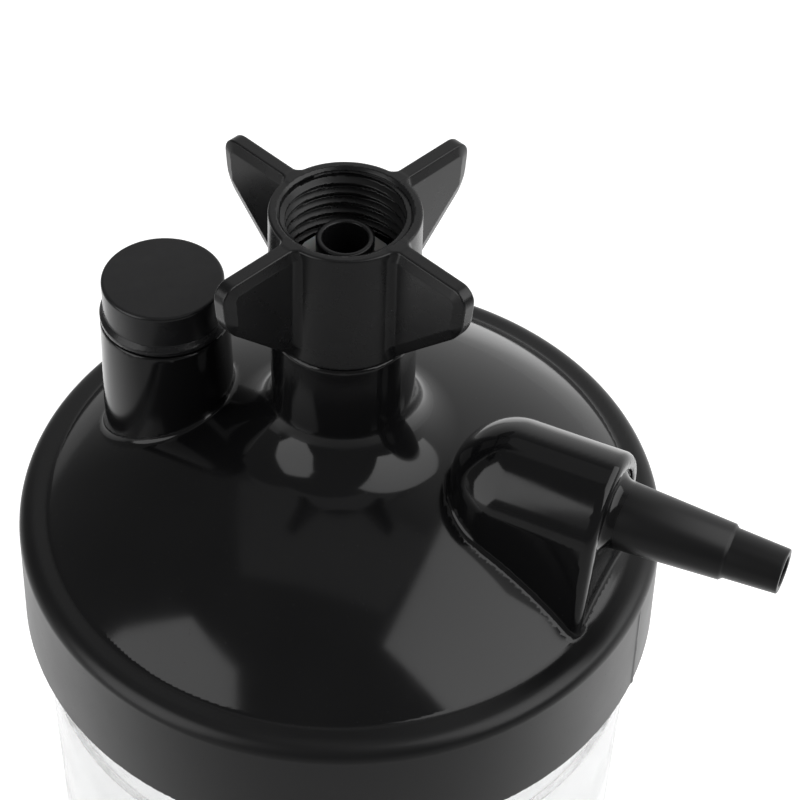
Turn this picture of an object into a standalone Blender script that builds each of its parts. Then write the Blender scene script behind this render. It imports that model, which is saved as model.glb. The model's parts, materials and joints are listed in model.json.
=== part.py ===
"""Bubble humidifier bottle for an oxygen concentrator.

A clear screw-neck bottle with a black moulded lid. The lid carries a four-wing
inlet nut on a captive nipple, a spring-loaded relief valve in a side tower, a
barbed outlet on a cowl, and the dip tube with its bubble diffuser.

Metres, +Z up. The origin is the middle of the bottle's base. Turned profiles
are lists of (radius, height); the lid's heights are taken from its datum plane.
"""
import math

import bmesh
import bpy
from mathutils import Matrix, Vector

MM = 0.001
GAP = 0.3 * MM                     # clearance between neighbouring pieces
SEGMENTS = 40                      # facets round the large turned pieces
SMALL_SEGMENTS = 20                # facets round the small turned pieces
HALF_FACET = math.pi / SEGMENTS    # turns a thread so its corners miss the wall's own

# Overall
LID_DATUM = 132.0 * MM             # height of the lid's datum plane above the base

# Bottle
BODY_RADIUS = 37.6 * MM
BODY_WALL = 1.7 * MM
NECK_RADIUS = 35.2 * MM            # thread root
NECK_BORE = 33.4 * MM
MOUTH_Z = LID_DATUM - 3.9 * MM
SHOULDER_Z = LID_DATUM - 23.0 * MM
THREAD_PITCH = 4.0 * MM
NECK_THREAD_CREST = 36.7 * MM
LEVEL_MARKS = 5

# Lid
RIM_RADIUS = 39.2 * MM
RIM_TOP = 1.1 * MM
RIM_ROUND = 2.0 * MM
SKIRT_RADIUS = 39.6 * MM
SKIRT_BOTTOM = -14.4 * MM
SKIRT_BORE = 37.4 * MM
LID_THREAD_CREST = 35.9 * MM
DOME_RADIUS = 53.2 * MM
DOME_CENTRE_Z = -38.4 * MM
DOME_FOOT = 35.8 * MM
DOME_WALL = 2.0 * MM
STEM_RADIUS = 8.35 * MM
STEM_TOP = 29.8 * MM
STEM_FILLET = 5.5 * MM
STEM_BORE = 4.85 * MM
TUBE_SOCKET = 3.3 * MM

# Inlet nut and nipple
NUT_RADIUS = 8.5 * MM
NUT_BOTTOM = 30.1 * MM
NUT_TOP = 46.1 * MM
NUT_LIP_TOP = 31.9 * MM
NUT_THREAD_PITCH = 25.4 / 18 * MM  # 9/16 inch, 18 threads to the inch
NUT_THREAD_ROOT = 7.2 * MM
NUT_THREAD_CREST = 6.55 * MM
WING_TIP = 18.7 * MM
WING_THICKNESS = 2.4 * MM
NIPPLE_TOP = 42.3 * MM
NIPPLE_RADIUS = 3.25 * MM
NIPPLE_BORE = 2.5 * MM
SHANK_RADIUS = 4.55 * MM
FLANGE_RADIUS = 6.1 * MM
FLANGE_BOTTOM = 35.2 * MM

# Relief valve
TOWER_X = -21.04 * MM
TOWER_Y = 7.54 * MM
TOWER_TOP = 23.2 * MM
TOWER_RADIUS = 7.6 * MM
TOWER_BORE = 6.0 * MM
TOWER_FLOOR = 12.4 * MM
CAP_RADIUS = 7.15 * MM
CAP_TOP = 29.05 * MM
SPRING_BOTTOM = 17.5 * MM
SPRING_TOP = 24.6 * MM
SPRING_RADIUS = 2.7 * MM
SPRING_WIRE = 0.25 * MM
SPRING_TURNS = 5

# Outlet cowl and barb
OUTLET_ANGLE = math.radians(-25.3)
OUTLET_Z = 14.4 * MM
COWL_RADIUS = 7.45 * MM
COWL_CENTRE = 22.2 * MM            # where the straight part of the cowl begins
COWL_FACE = 34.6 * MM
COWL_DRAFT = 1.6 * MM              # how far each wall leans out down to the dome
COWL_WALL = 2.0 * MM
BARB_STEP = 48.2 * MM
BARB_END = 54.6 * MM
BARB_BORE = 1.8 * MM

# Dip tube and diffuser
TUBE_RADIUS = 3.0 * MM
TUBE_BORE = 2.0 * MM
TUBE_BOTTOM = 23.5 * MM
STONE_RADIUS = 8.0 * MM


def clear_scene():
    for old in list(bpy.data.objects):
        bpy.data.objects.remove(old)


def make_material(name, colour, roughness, alpha=1.0, metallic=0.0):
    material = bpy.data.materials.new(name)
    material.use_nodes = True
    shader = material.node_tree.nodes["Principled BSDF"]
    shader.inputs["Base Color"].default_value = (*colour, 1.0)
    shader.inputs["Roughness"].default_value = roughness
    shader.inputs["Metallic"].default_value = metallic
    shader.inputs["Alpha"].default_value = alpha
    return material


def arc(centre_r, centre_z, radius, start, end, steps):
    """Points (r, z) along an arc, with its angles in degrees from the +r direction."""
    points = []
    for step in range(steps + 1):
        angle = math.radians(start + (end - start) * step / steps)
        points.append((centre_r + radius * math.cos(angle), centre_z + radius * math.sin(angle)))
    return points


def add_object(name, mesh_data, material, parent=None, location=(0.0, 0.0, 0.0)):
    """Links a bmesh as a named, smooth-shaded object; its faces are turned outwards first."""
    bmesh.ops.recalc_face_normals(mesh_data, faces=mesh_data.faces)
    mesh = bpy.data.meshes.new(name)
    mesh_data.to_mesh(mesh)
    mesh_data.free()
    mesh.shade_smooth()
    mesh.set_sharp_from_angle(angle=math.radians(35))
    if material is not None:
        mesh.materials.append(material)
    piece = bpy.data.objects.new(name, mesh)
    bpy.context.scene.collection.objects.link(piece)
    piece.parent = parent
    piece.location = location
    return piece


def turned_mesh(profile, segments, closed=True):
    """A profile of (r, z) points spun round Z. An open profile starts and ends on the axis."""
    work = bmesh.new()
    verts = [work.verts.new((r, 0.0, z)) for r, z in profile]
    pairs = list(zip(verts, verts[1:]))
    if closed:
        pairs.append((verts[-1], verts[0]))
    edges = [work.edges.new(pair) for pair in pairs]
    bmesh.ops.spin(work, geom=verts + edges, cent=(0, 0, 0), axis=(0, 0, 1),
                   angle=2 * math.pi, steps=segments, use_merge=True)
    bmesh.ops.remove_doubles(work, verts=work.verts, dist=1e-7)
    return work


def turned(name, profile, material, parent=None, location=(0.0, 0.0, 0.0),
           segments=SMALL_SEGMENTS, closed=True):
    work = turned_mesh(profile, segments, closed)
    return add_object(name, work, material, parent, location)


def as_tool(piece):
    """Marks an object as a cutter or a joining shape, which isn't a piece of its own."""
    piece.hide_render = True
    piece.display_type = "WIRE"
    return piece


def boolean(piece, tool, operation):
    modifier = piece.modifiers.new(tool.name, "BOOLEAN")
    modifier.operation = operation
    modifier.solver = "EXACT"
    modifier.object = as_tool(tool)


def join(piece, tool):
    boolean(piece, tool, "UNION")


def cut(piece, tool):
    boolean(piece, tool, "DIFFERENCE")


def rod(name, radius, start, end, parent=None, segments=SMALL_SEGMENTS):
    """A plain cylinder from one point to another, used as a tool."""
    start, end = Vector(start), Vector(end)
    along = end - start
    work = bmesh.new()
    bmesh.ops.create_cone(work, cap_ends=True, segments=segments, radius1=radius,
                          radius2=radius, depth=along.length)
    turn = Vector((0, 0, 1)).rotation_difference(along).to_matrix().to_4x4()
    bmesh.ops.transform(work, matrix=Matrix.Translation((start + end) / 2) @ turn, verts=work.verts)
    return as_tool(add_object(name, work, None, parent))


def ring_ridge(name, root, crest, start_z, turns, pitch, root_half, crest_half,
               steps_per_turn, parent=None, start_angle=0.0):
    """A helical thread ridge of trapezoid section that fades in and out at its ends.

    root is the radius buried in the wall, and crest the radius of the ridge's top.
    """
    steps = round(turns * steps_per_turn)
    fade = steps_per_turn // 8
    work = bmesh.new()
    rings = []
    for step in range(steps + 1):
        angle = start_angle + 2 * math.pi * step / steps_per_turn
        middle = start_z + pitch * step / steps_per_turn
        share = min(1.0, (step + 0.4) / fade, (steps - step + 0.4) / fade)
        top = root + (crest - root) * share
        section = (
            (root, -root_half),
            (top, -crest_half),
            (top, crest_half),
            (root, root_half),
        )
        rings.append([
            work.verts.new((r * math.cos(angle), r * math.sin(angle), middle + z))
            for r, z in section
        ])
    for low, high in zip(rings, rings[1:]):
        for a in range(4):
            b = (a + 1) % 4
            work.faces.new((low[a], low[b], high[b], high[a]))
    work.faces.new(rings[0])
    work.faces.new(rings[-1])
    return as_tool(add_object(name, work, None, parent))


def make_bottle(material):
    body_bore = BODY_RADIUS - BODY_WALL
    base_round = 4.0 * MM
    foot_inner = 29.0 * MM
    pad_radius = 9.0 * MM
    recess = 0.8 * MM
    floor = 2.4 * MM
    profile = [(0.0, 0.0), (pad_radius, 0.0), (pad_radius + recess, recess),
               (foot_inner - recess, recess), (foot_inner, 0.0)]
    profile += arc(BODY_RADIUS - base_round, base_round, base_round, -90, 0, 5)
    profile += [
        (BODY_RADIUS, SHOULDER_Z),
        (BODY_RADIUS - 0.2 * MM, SHOULDER_Z + 0.5 * MM),
        (36.9 * MM, SHOULDER_Z + 1.0 * MM),
        (36.8 * MM, LID_DATUM - 15.5 * MM),
        (NECK_RADIUS, LID_DATUM - 14.9 * MM),
        (NECK_RADIUS, MOUTH_Z - 0.6 * MM),
        (NECK_RADIUS - 0.5 * MM, MOUTH_Z),
        (NECK_BORE + 0.3 * MM, MOUTH_Z),
        (NECK_BORE, MOUTH_Z - 0.3 * MM),
        (NECK_BORE, LID_DATUM - 19.0 * MM),
        (body_bore, SHOULDER_Z - 2.0 * MM),
    ]
    inner_round = base_round - BODY_WALL + 0.6 * MM
    profile += arc(body_bore - inner_round, floor + inner_round, inner_round, 0, -90, 4)
    profile += [(0.0, floor)]
    bottle = turned("bottle", profile, material, segments=SEGMENTS, closed=False)
    join(bottle, ring_ridge("neck_thread", NECK_RADIUS - 0.3 * MM, NECK_THREAD_CREST,
                            LID_DATUM - 12.6 * MM, 1.6, THREAD_PITCH,
                            1.0 * MM, 0.35 * MM, SEGMENTS, start_angle=HALF_FACET))
    for mark in range(LEVEL_MARKS):
        join(bottle, level_mark(mark))
    return bottle


def level_mark(index):
    """A raised bar on the bottle's front; the first and last are the long ones."""
    spacing = 12.0 * MM
    lowest = 42.0 * MM
    width = (16.0 if index in (0, LEVEL_MARKS - 1) else 9.0) * MM
    work = bmesh.new()
    bmesh.ops.create_cube(work, size=1.0)
    bmesh.ops.scale(work, vec=(width, 3.0 * MM, 0.8 * MM), verts=work.verts)
    height = lowest + spacing * index
    bmesh.ops.translate(work, vec=(0, -BODY_RADIUS + 1.0 * MM, height), verts=work.verts)
    return as_tool(add_object(f"level_mark_{index + 1}", work, None))


def dome_z(radius, shell):
    """Height of the dome's surface at a radius, for the outer skin or the inner one."""
    sphere = DOME_RADIUS - shell
    return DOME_CENTRE_Z + math.sqrt(sphere ** 2 - radius ** 2)


def stem_fillet():
    """The concave arc that carries the stem's side into the dome."""
    centre_r = STEM_RADIUS + STEM_FILLET
    reach = DOME_RADIUS + STEM_FILLET
    centre_z = DOME_CENTRE_Z + math.sqrt(reach ** 2 - centre_r ** 2)
    end = math.degrees(math.atan2(DOME_CENTRE_Z - centre_z, -centre_r)) % 360
    return arc(centre_r, centre_z, STEM_FILLET, 180, end, 4)


def dome_points(shell, start, end, steps):
    points = []
    for step in range(steps + 1):
        radius = start + (end - start) * step / steps
        points.append((radius, dome_z(radius, shell)))
    return points


def lid_shell_profile():
    """The lid's turned section: stem, dome, rim and skirt outside, bore and socket inside."""
    ceiling = -2.0 * MM
    cavity = 33.0 * MM
    boss = 5.4 * MM
    boss_bottom = -6.0 * MM
    socket_top = 8.5 * MM
    bore_floor = 15.5 * MM
    passage = 2.0 * MM
    fillet = stem_fillet()
    profile = [
        (STEM_BORE, STEM_TOP - 0.4 * MM),
        (STEM_BORE + 0.4 * MM, STEM_TOP),
        (STEM_RADIUS - 0.4 * MM, STEM_TOP),
        (STEM_RADIUS, STEM_TOP - 0.4 * MM),
    ]
    profile += fillet
    profile += dome_points(0.0, fillet[-1][0] + 3.0 * MM, DOME_FOOT, 6)
    profile += arc(RIM_RADIUS - RIM_ROUND, RIM_TOP - RIM_ROUND, RIM_ROUND, 90, 0, 3)
    profile += [
        (SKIRT_RADIUS, SKIRT_BOTTOM + 0.3 * MM),
        (SKIRT_RADIUS - 0.3 * MM, SKIRT_BOTTOM),
        (SKIRT_BORE + 0.4 * MM, SKIRT_BOTTOM),
        (SKIRT_BORE, SKIRT_BOTTOM + 0.8 * MM),
        (SKIRT_BORE, ceiling),
        (cavity, ceiling),
    ]
    profile += dome_points(DOME_WALL, cavity - 0.6 * MM, boss + 1.0 * MM, 6)
    profile += [
        (boss, dome_z(boss, DOME_WALL) - 1.0 * MM),
        (boss, boss_bottom),
        (TUBE_SOCKET, boss_bottom),
        (TUBE_SOCKET, socket_top),
        (passage, socket_top),
        (passage, bore_floor),
        (STEM_BORE, bore_floor),
    ]
    return profile


def outlet_matrix():
    """Turns shapes made along +X, with Z up, onto the outlet's own direction."""
    return Matrix.Rotation(OUTLET_ANGLE, 4, "Z")


def cowl_mesh(inset, face, foot_z):
    """A hood: an arched section with leaning walls, straight to its face and round behind.

    Each level is a U-shaped outline; the top one closes to a ridge line.
    """
    arc_steps = 5
    back_steps = 6
    radius = COWL_RADIUS - inset
    levels = []
    for step in range(arc_steps + 1):
        angle = math.radians(90 - 90 * step / arc_steps)
        levels.append((radius * math.cos(angle), OUTLET_Z + radius * math.sin(angle)))
    levels.append((radius + COWL_DRAFT, foot_z))
    work = bmesh.new()
    outlines = []
    for width, height in levels:
        outline = [(face, -width)]
        for step in range(back_steps + 1):
            angle = math.pi * step / back_steps
            outline.append((COWL_CENTRE - width * math.sin(angle), -width * math.cos(angle)))
        outline.append((face, width))
        outlines.append([work.verts.new((x, y, height)) for x, y in outline])
    for high, low in zip(outlines, outlines[1:]):
        for a in range(len(high) - 1):
            work.faces.new((high[a], low[a], low[a + 1], high[a + 1]))
    work.faces.new(outlines[-1])
    left = [outline[0] for outline in outlines]
    right = [outline[-1] for outline in outlines]
    work.faces.new(left + right[:0:-1])
    bmesh.ops.remove_doubles(work, verts=work.verts, dist=1e-7)
    bmesh.ops.dissolve_degenerate(work, edges=work.edges, dist=1e-7)
    bmesh.ops.transform(work, matrix=outlet_matrix(), verts=work.verts)
    return work


def barb_mesh():
    """The outlet's stepped, tapered spigot, turned about its own axis."""
    root = COWL_FACE - 1.0 * MM
    along_radius = [
        (0.0, root),
        (5.2 * MM, root),
        (4.9 * MM, COWL_FACE + 0.2 * MM),
        (4.4 * MM, COWL_FACE + 0.6 * MM),
        (4.1 * MM, COWL_FACE + 1.5 * MM),
        (3.35 * MM, BARB_STEP),
        (2.95 * MM, BARB_STEP + 0.2 * MM),
        (2.65 * MM, BARB_END - 0.15 * MM),
        (2.5 * MM, BARB_END),
        (0.0, BARB_END),
    ]
    work = turned_mesh(along_radius, 24, closed=False)
    lay_down = Matrix.Rotation(math.radians(90), 4, "Y")
    lift = Matrix.Translation((0.0, 0.0, OUTLET_Z))
    bmesh.ops.transform(work, matrix=outlet_matrix() @ lift @ lay_down, verts=work.verts)
    return work


def make_wall_core(lid_frame):
    """A dome up to the middle of the lid's wall: it trims what stands on the lid to end there."""
    middle = DOME_WALL / 2
    widest, narrowest, low = 33.6 * MM, 9.0 * MM, -3.0 * MM
    profile = [(0.0, low), (widest, low)] + dome_points(middle, widest, narrowest, 8)
    profile.append((0.0, profile[-1][1]))
    return as_tool(turned("wall_core", profile, None, lid_frame, segments=SEGMENTS, closed=False))


def make_lid(material, lid_frame):
    lid = turned("lid", lid_shell_profile(), material, lid_frame, segments=SEGMENTS)
    wall_core = make_wall_core(lid_frame)
    add_tower(lid, wall_core, lid_frame)
    add_outlet(lid, wall_core, lid_frame)
    join(lid, ring_ridge("lid_thread", SKIRT_BORE + 0.3 * MM, LID_THREAD_CREST,
                         -12.6 * MM + 0.5 * THREAD_PITCH, 1.5, THREAD_PITCH,
                         1.0 * MM, 0.35 * MM, SEGMENTS, lid_frame, HALF_FACET))
    return lid


def add_tower(lid, wall_core, lid_frame):
    place = (TOWER_X, TOWER_Y, 0.0)
    draft = 0.5 * MM
    foot = 5.0 * MM
    seat_plate = 10.4 * MM
    outside = turned("tower_outside", [
        (0.0, foot), (TOWER_RADIUS + draft, foot), (TOWER_RADIUS, TOWER_TOP - 0.3 * MM),
        (TOWER_RADIUS - 0.3 * MM, TOWER_TOP), (0.0, TOWER_TOP),
    ], None, lid_frame, place, 24, closed=False)
    cut(outside, wall_core)
    join(lid, outside)
    plate = turned("seat_plate", [
        (0.0, seat_plate), (TOWER_RADIUS, seat_plate), (TOWER_RADIUS, TOWER_FLOOR + 5.0 * MM),
        (0.0, TOWER_FLOOR + 5.0 * MM),
    ], None, lid_frame, place, 24, closed=False)
    join(lid, plate)
    bore = turned("tower_bore", [
        (0.0, TOWER_FLOOR), (TOWER_BORE, TOWER_FLOOR), (TOWER_BORE, TOWER_TOP + 1.0 * MM),
        (0.0, TOWER_TOP + 1.0 * MM),
    ], None, lid_frame, place, 24, closed=False)
    cut(lid, bore)
    seat_hole = rod("seat_hole", 2.2 * MM, (TOWER_X, TOWER_Y, foot + 0.5 * MM),
                    (TOWER_X, TOWER_Y, TOWER_FLOOR + 1.0 * MM), lid_frame, 16)
    cut(lid, seat_hole)


def add_outlet(lid, wall_core, lid_frame):
    cowl = as_tool(add_object("cowl", cowl_mesh(0.0, COWL_FACE, 0.8 * MM), None, lid_frame))
    cut(cowl, wall_core)
    join(lid, cowl)
    join(lid, as_tool(add_object("barb", barb_mesh(), None, lid_frame)))
    hollow = cowl_mesh(COWL_WALL, COWL_FACE - COWL_WALL, 1.6 * MM)
    cut(lid, as_tool(add_object("cowl_hollow", hollow, None, lid_frame)))
    direction = Vector((math.cos(OUTLET_ANGLE), math.sin(OUTLET_ANGLE), 0.0))
    lift = Vector((0.0, 0.0, OUTLET_Z))
    cut(lid, rod("barb_bore", BARB_BORE, direction * (COWL_FACE - 4.0 * MM) + lift,
                 direction * (BARB_END + 1.0 * MM) + lift, lid_frame, 16))


def make_gasket(material):
    low = MOUTH_Z + GAP
    high = LID_DATUM - 2.0 * MM - GAP
    inner, outer = 33.2 * MM, 36.6 * MM
    edge = 0.25 * MM
    return turned("lid_gasket", [
        (inner, low + edge), (inner + edge, low), (outer - edge, low), (outer, low + edge),
        (outer, high - edge), (outer - edge, high), (inner + edge, high), (inner, high - edge),
    ], material, segments=SEGMENTS)


def wing_mesh():
    """One wing: a flat top flush with the hub, a round-cornered tip and a 45-degree lower edge."""
    corner = 2.0 * MM
    inner = NUT_RADIUS - 0.7 * MM
    tip_low = 40.6 * MM
    outline = [(inner, NUT_TOP)]
    outline += arc(WING_TIP - corner, NUT_TOP - corner, corner, 90, 0, 4)
    outline += arc(WING_TIP - corner, tip_low + 0.8 * MM, corner, 0, -45, 3)
    outline += [(inner, NUT_BOTTOM + 0.1 * MM)]
    half = WING_THICKNESS / 2
    work = bmesh.new()
    sheet = work.faces.new([work.verts.new((r, -half, z)) for r, z in outline])
    grown = bmesh.ops.extrude_face_region(work, geom=[sheet])
    moved = [item for item in grown["geom"] if isinstance(item, bmesh.types.BMVert)]
    bmesh.ops.translate(work, vec=(0.0, WING_THICKNESS, 0.0), verts=moved)
    outer = [edge for edge in work.edges
             if edge.calc_length() > 0.0
             and abs(edge.verts[0].co.y - edge.verts[1].co.y) < 1e-9
             and max(vert.co.x for vert in edge.verts) > inner + 1e-6]
    bmesh.ops.bevel(work, geom=outer, offset=0.4 * MM, segments=1, affect="EDGES", profile=0.5)
    return work


def make_wing_nut(material, lid_frame):
    lip_bore = 4.9 * MM
    round_edge = 0.3 * MM
    nut = turned("wing_nut", [
        (lip_bore, NUT_BOTTOM + 0.3 * MM), (lip_bore + 0.3 * MM, NUT_BOTTOM),
        (NUT_RADIUS - round_edge, NUT_BOTTOM), (NUT_RADIUS, NUT_BOTTOM + round_edge),
        (NUT_RADIUS, NUT_TOP - round_edge), (NUT_RADIUS - round_edge, NUT_TOP),
        (NUT_THREAD_ROOT + 0.3 * MM, NUT_TOP), (NUT_THREAD_ROOT, NUT_TOP - 0.5 * MM),
        (NUT_THREAD_ROOT, NUT_LIP_TOP), (lip_bore, NUT_LIP_TOP),
    ], material, lid_frame, segments=32)
    for wing in range(4):
        blade = wing_mesh()
        turn = Matrix.Rotation(math.radians(45 + 90 * wing), 4, "Z")
        bmesh.ops.transform(blade, matrix=turn, verts=blade.verts)
        join(nut, as_tool(add_object(f"wing_{wing + 1}", blade, None, lid_frame)))
    join(nut, ring_ridge("nut_thread", NUT_THREAD_ROOT + 0.15 * MM, NUT_THREAD_CREST,
                         38.4 * MM, 4.7, NUT_THREAD_PITCH, 0.55 * MM, 0.12 * MM, 16, lid_frame))
    return nut


def make_nipple(material, lid_frame):
    groove = 3.3 * MM
    groove_low, groove_high = 21.9 * MM, 23.7 * MM
    bottom = 15.9 * MM
    flange_top = FLANGE_BOTTOM + 2.1 * MM
    nose = arc(NIPPLE_RADIUS - 0.4 * MM, NIPPLE_TOP - 0.4 * MM, 0.4 * MM, 0, 90, 3)
    return turned("inlet_nipple", [
        (NIPPLE_BORE, bottom), (SHANK_RADIUS - 0.4 * MM, bottom),
        (SHANK_RADIUS, bottom + 0.4 * MM), (SHANK_RADIUS, groove_low), (groove, groove_low),
        (groove, groove_high), (SHANK_RADIUS, groove_high), (SHANK_RADIUS, FLANGE_BOTTOM),
        (FLANGE_RADIUS - 0.2 * MM, FLANGE_BOTTOM), (FLANGE_RADIUS, FLANGE_BOTTOM + 0.2 * MM),
        (FLANGE_RADIUS, flange_top - 0.4 * MM), (FLANGE_RADIUS - 0.4 * MM, flange_top),
        (NIPPLE_RADIUS, flange_top),
    ] + nose + [(NIPPLE_BORE, NIPPLE_TOP)], material, lid_frame)


def make_seals(material, lid_frame):
    turned("nipple_o_ring", arc(4.1 * MM, 22.8 * MM, 0.5 * MM, 0, 315, 7), material, lid_frame)
    nose_low = FLANGE_BOTTOM + 2.1 * MM + GAP
    turned("nose_seal", rectangle(3.6 * MM, 5.6 * MM, nose_low, nose_low + 0.9 * MM),
           material, lid_frame)


def rectangle(inner, outer, low, high):
    return [(inner, low), (outer, low), (outer, high), (inner, high)]


def make_relief_valve(black, rubber, steel, white, lid_frame):
    place = (TOWER_X, TOWER_Y, 0.0)
    turned("relief_seat", [
        (1.9 * MM, 12.7 * MM), (5.7 * MM, 12.7 * MM), (5.7 * MM, 13.9 * MM),
        (2.9 * MM, 13.9 * MM), (2.5 * MM, 14.7 * MM), (1.9 * MM, 14.7 * MM),
    ], white, lid_frame, place)
    turned("relief_seal", [
        (0.0, 15.0 * MM), (3.7 * MM, 15.0 * MM), (3.7 * MM, 15.9 * MM), (0.0, 15.9 * MM),
    ], rubber, lid_frame, place, closed=False)
    turned("relief_poppet", [
        (0.0, 16.2 * MM), (4.2 * MM, 16.2 * MM), (4.2 * MM, 17.2 * MM), (1.6 * MM, 17.2 * MM),
        (1.1 * MM, 17.9 * MM), (1.1 * MM, 24.7 * MM), (0.8 * MM, 25.0 * MM), (0.0, 25.0 * MM),
    ], white, lid_frame, place, closed=False)
    make_spring(steel, lid_frame, place)
    make_whistle(steel, lid_frame, place)
    make_relief_cap(black, lid_frame, place)


def make_spring(material, lid_frame, place):
    """A coil spring with flat closed ends, swept round the poppet's stem."""
    steps_per_turn = 12
    steps = SPRING_TURNS * steps_per_turn
    wire_sides = 5
    low, high = SPRING_BOTTOM + SPRING_WIRE, SPRING_TOP - SPRING_WIRE
    work = bmesh.new()
    rings = []
    for step in range(steps + 1):
        share = step / steps
        angle = 2 * math.pi * step / steps_per_turn
        height = low + (high - low) * share
        ring = []
        for side in range(wire_sides):
            around = 2 * math.pi * side / wire_sides
            radius = SPRING_RADIUS + SPRING_WIRE * math.cos(around)
            ring.append(work.verts.new((radius * math.cos(angle), radius * math.sin(angle),
                                        height + SPRING_WIRE * math.sin(around))))
        rings.append(ring)
    for lower, upper in zip(rings, rings[1:]):
        for a in range(wire_sides):
            b = (a + 1) % wire_sides
            work.faces.new((lower[a], lower[b], upper[b], upper[a]))
    work.faces.new(rings[0])
    work.faces.new(rings[-1])
    add_object("relief_spring", work, material, lid_frame, place)


def make_whistle(material, lid_frame, place):
    disc = turned("relief_whistle", rectangle(1.5 * MM, 4.4 * MM, 24.9 * MM, 25.6 * MM),
                  material, lid_frame, place)
    for side in (-1, 1):
        x = TOWER_X + side * 3.0 * MM
        cut(disc, rod(f"whistle_hole_{side + 2}", 0.6 * MM, (x, TOWER_Y, 24.0 * MM),
                      (x, TOWER_Y, 26.5 * MM), lid_frame, 10))


def make_relief_cap(material, lid_frame, place):
    plug, plug_bore = 5.7 * MM, 4.7 * MM
    seam = TOWER_TOP + GAP
    cap = turned("relief_cap", [
        (0.0, CAP_TOP), (CAP_RADIUS - 0.3 * MM, CAP_TOP), (CAP_RADIUS, CAP_TOP - 0.3 * MM),
        (CAP_RADIUS, seam + 1.2 * MM), (TOWER_RADIUS, seam + 0.7 * MM), (TOWER_RADIUS, seam),
        (plug, seam), (plug, 20.2 * MM), (plug_bore, 20.2 * MM), (plug_bore, 27.5 * MM),
        (0.0, 27.5 * MM),
    ], material, lid_frame, place, 24, closed=False)
    for side in (-1, 1):
        start = (TOWER_X + side * 2.2 * MM, TOWER_Y + 3.5 * MM, 26.5 * MM)
        end = (TOWER_X + side * 4.0 * MM, TOWER_Y + 9.0 * MM, 26.5 * MM)
        cut(cap, rod(f"cap_vent_{side + 2}", 0.7 * MM, start, end, lid_frame, 10))


def make_dip_tube(material, lid_frame):
    low = TUBE_BOTTOM - LID_DATUM
    return turned("dip_tube", rectangle(TUBE_BORE, TUBE_RADIUS, low, 8.2 * MM),
                  material, lid_frame)


def make_diffuser(plastic, stone, lid_frame):
    """The bubbler on the tube's end: a socket with a cup, the porous stone and its retainer."""
    floor = -LID_DATUM
    hub_bore, hub = TUBE_RADIUS + GAP, 5.0 * MM
    cup_bore, cup = STONE_RADIUS + GAP, 9.6 * MM
    turned("diffuser_holder", [
        (hub_bore, floor + 34.0 * MM), (hub_bore, floor + 23.2 * MM), (1.8 * MM, floor + 23.2 * MM),
        (1.8 * MM, floor + 20.3 * MM), (cup_bore, floor + 20.3 * MM), (cup_bore, floor + 12.5 * MM),
        (cup, floor + 12.5 * MM), (cup, floor + 21.0 * MM), (cup - 1.0 * MM, floor + 22.0 * MM),
        (hub + 0.8 * MM, floor + 22.0 * MM), (hub, floor + 22.8 * MM), (hub, floor + 34.0 * MM),
    ], plastic, lid_frame, segments=24)
    turned("diffuser_stone", [
        (0.0, floor + 8.0 * MM), (STONE_RADIUS - 0.6 * MM, floor + 8.0 * MM),
        (STONE_RADIUS, floor + 8.6 * MM), (STONE_RADIUS, floor + 20.0 * MM), (0.0, floor + 20.0 * MM),
    ], stone, lid_frame, segments=24, closed=False)
    ring_bore, ring = cup + GAP, 11.0 * MM
    turned("diffuser_retainer", [
        (5.5 * MM, floor + 6.3 * MM), (ring - 0.6 * MM, floor + 6.3 * MM),
        (ring, floor + 6.9 * MM), (ring, floor + 16.0 * MM), (ring_bore, floor + 16.0 * MM),
        (ring_bore, floor + 7.7 * MM), (5.5 * MM, floor + 7.7 * MM),
    ], plastic, lid_frame, segments=24)


def main():
    clear_scene()
    black = make_material("black_gloss", (0.012, 0.012, 0.013), 0.16)
    satin = make_material("black_satin", (0.02, 0.02, 0.021), 0.4)
    clear = make_material("clear_bottle", (0.9, 0.93, 0.95), 0.05, alpha=0.3)
    silicone = make_material("white_silicone", (0.75, 0.75, 0.73), 0.5)
    white = make_material("white_plastic", (0.8, 0.8, 0.78), 0.35)
    steel = make_material("spring_steel", (0.6, 0.6, 0.62), 0.3, metallic=1.0)
    tube = make_material("tube_plastic", (0.85, 0.87, 0.88), 0.2, alpha=0.5)
    stone = make_material("porous_stone", (0.62, 0.6, 0.55), 0.95)

    lid_frame = bpy.data.objects.new("lid_frame", None)
    bpy.context.scene.collection.objects.link(lid_frame)
    lid_frame.location = (0.0, 0.0, LID_DATUM)

    make_bottle(clear)
    make_gasket(silicone)
    make_lid(black, lid_frame)
    make_nipple(black, lid_frame)
    make_seals(silicone, lid_frame)
    turned("nut_slip_washer", rectangle(4.9 * MM, 6.3 * MM, NUT_LIP_TOP + GAP,
                                        NUT_LIP_TOP + GAP + 0.7 * MM), white, lid_frame)
    make_wing_nut(black, lid_frame)
    make_relief_valve(satin, silicone, steel, white, lid_frame)
    make_dip_tube(tube, lid_frame)
    make_diffuser(white, stone, lid_frame)


main()
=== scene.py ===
"""Looks of the bubble humidifier bottle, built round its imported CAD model.

Shapes are worked out in millimetres and set in metres. The moulded pieces are
surfaces of a distance field, so their fillets and rounded edges are real; the
turned pieces are profiles of (radius, height) with softened corners.
"""
import itertools
import json
import math

import bmesh
import bpy
import numpy as np
from mathutils import Euler, Matrix, Vector


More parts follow.
